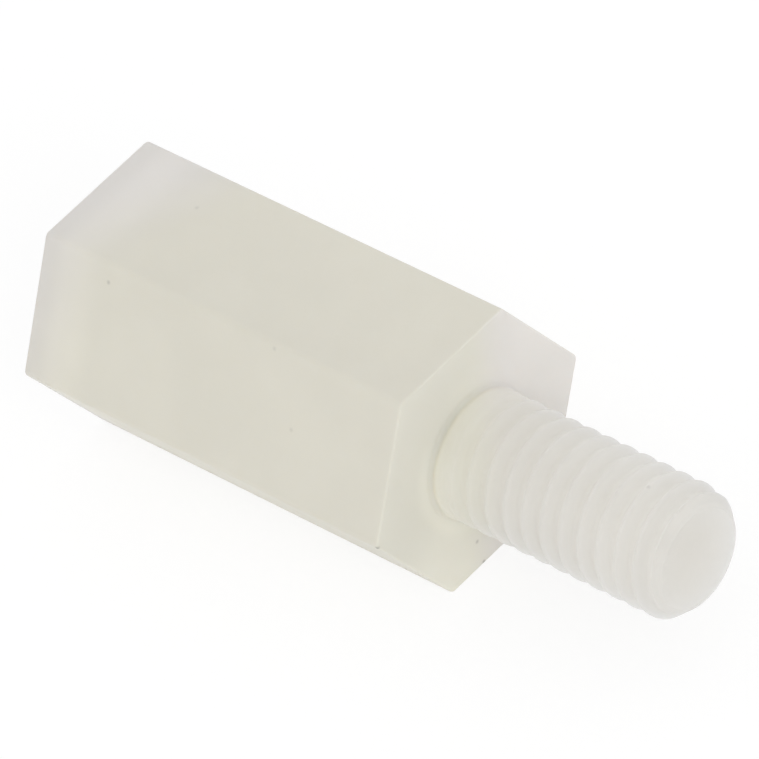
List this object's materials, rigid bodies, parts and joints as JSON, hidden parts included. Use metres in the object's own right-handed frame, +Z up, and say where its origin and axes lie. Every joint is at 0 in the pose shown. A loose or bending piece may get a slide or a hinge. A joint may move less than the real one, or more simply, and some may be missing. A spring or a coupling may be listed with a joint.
{
  "type": "hex standoff",
  "caption": "Natural nylon male-female hex standoff: a hexagonal spacer with a threaded stud at one end and a threaded blind hole at the other, for holding a board off a panel.",
  "frame": {"origin": "on the thread axis at the shoulder, where the stud leaves the hexagonal body", "axes": "+X along the axis towards the stud's tip, +Z up, square to the flat that it lies on"},
  "size_m": [0.016, 0.0064, 0.0054],
  "materials": {
    "natural_nylon": "milky, slightly translucent natural nylon with a soft satin surface"
  },
  "bodies": {
    "root": {"hex_standoff": "natural_nylon"}
  },
  "joints": []
}
